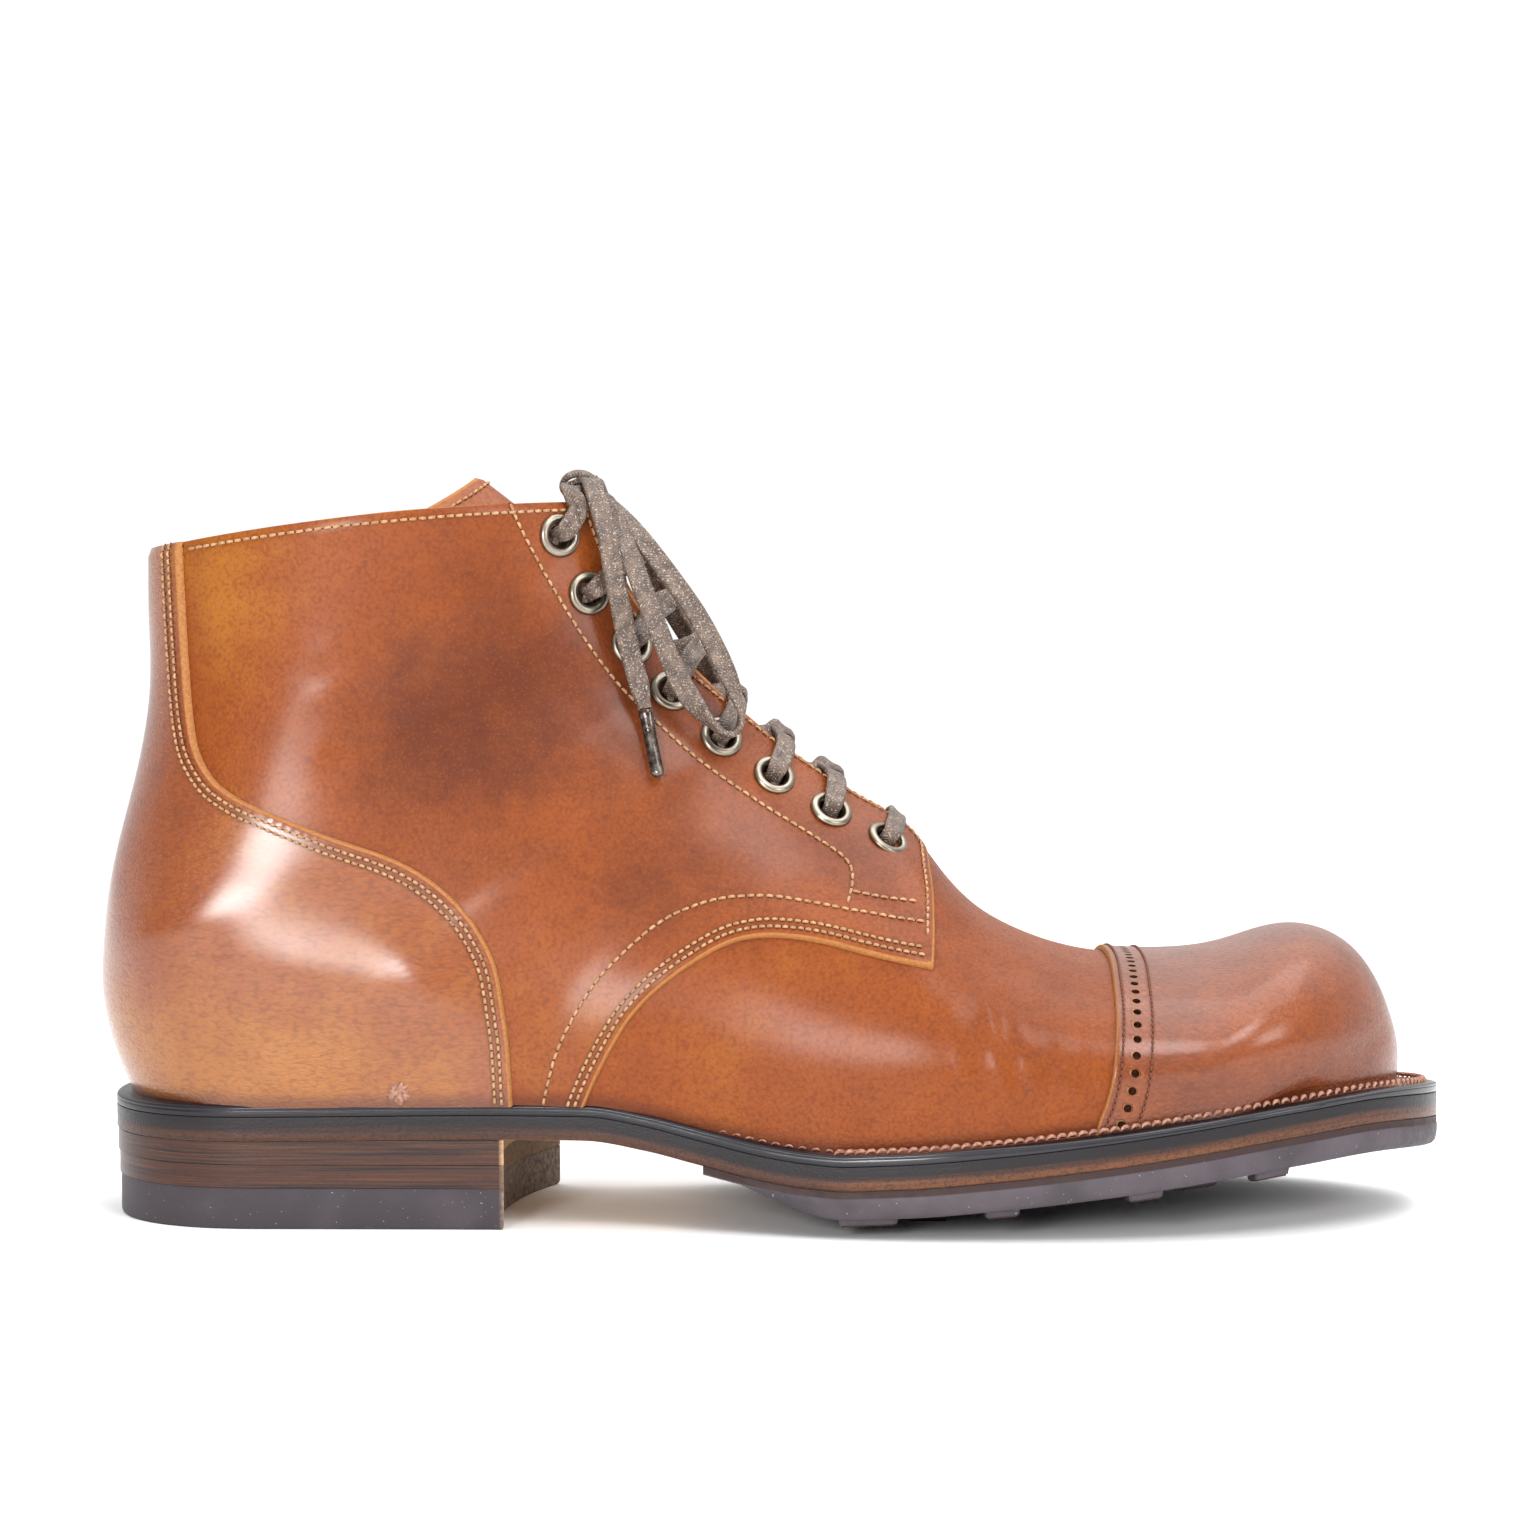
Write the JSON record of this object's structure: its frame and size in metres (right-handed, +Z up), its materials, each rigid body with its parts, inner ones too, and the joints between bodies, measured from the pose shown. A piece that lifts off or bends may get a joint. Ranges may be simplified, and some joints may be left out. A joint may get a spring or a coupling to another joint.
{
  "type": "service boot",
  "caption": "Right-foot lace-up ankle boot in tan leather with brogued toe cap, heel counter, brass eyelets, waxed lace tied in a bow, welted sole, stacked heel and rubber half sole.",
  "frame": {"origin": "on the floor under the middle of the boot's length and width", "axes": "+X from the heel to the toe, +Y to the inner side of the foot, +Z up"},
  "size_m": [0.3041, 0.106, 0.1673],
  "materials": {
    "tan_leather": "waxed, pebble grain",
    "lining_leather": "natural, matt",
    "dark_edge": "inked and waxed edge",
    "stacked_leather": "inked and waxed edge",
    "rubber": "matt, cork-specked",
    "antique_brass": "antiqued",
    "waxed_lace": "waxed flat braid"
  },
  "bodies": {
    "root": {"upper": "tan_leather", "toe_cap": "tan_leather", "heel_counter": "tan_leather", "tongue": "tan_leather", "insole": "lining_leather", "welt": "dark_edge", "midsole": "stacked_leather", "heel_lift_1": "stacked_leather", "heel_lift_2": "stacked_leather", "outsole": "rubber", "heel_top_lift": "rubber", "eyelet_outer_1": "antique_brass", "eyelet_outer_2": "antique_brass", "eyelet_outer_3": "antique_brass", "eyelet_outer_4": "antique_brass", "eyelet_outer_5": "antique_brass", "eyelet_outer_6": "antique_brass", "eyelet_outer_7": "antique_brass", "eyelet_outer_8": "antique_brass", "eyelet_inner_1": "antique_brass", "eyelet_inner_2": "antique_brass", "eyelet_inner_3": "antique_brass", "eyelet_inner_4": "antique_brass", "eyelet_inner_5": "antique_brass", "eyelet_inner_6": "antique_brass", "eyelet_inner_7": "antique_brass", "eyelet_inner_8": "antique_brass", "aglet_outer": "antique_brass", "aglet_inner": "antique_brass", "lace_crossing_1": "waxed_lace", "lace_crossing_2": "waxed_lace", "lace_crossing_3": "waxed_lace", "lace_crossing_4": "waxed_lace", "lace_crossing_5": "waxed_lace", "lace_crossing_6": "waxed_lace", "lace_bar": "waxed_lace", "lace_top_outer": "waxed_lace", "lace_top_inner": "waxed_lace", "lace_knot": "waxed_lace", "lace_loop_outer": "waxed_lace", "lace_loop_inner": "waxed_lace", "lace_end_outer": "waxed_lace", "lace_end_inner": "waxed_lace"}
  },
  "joints": []
}
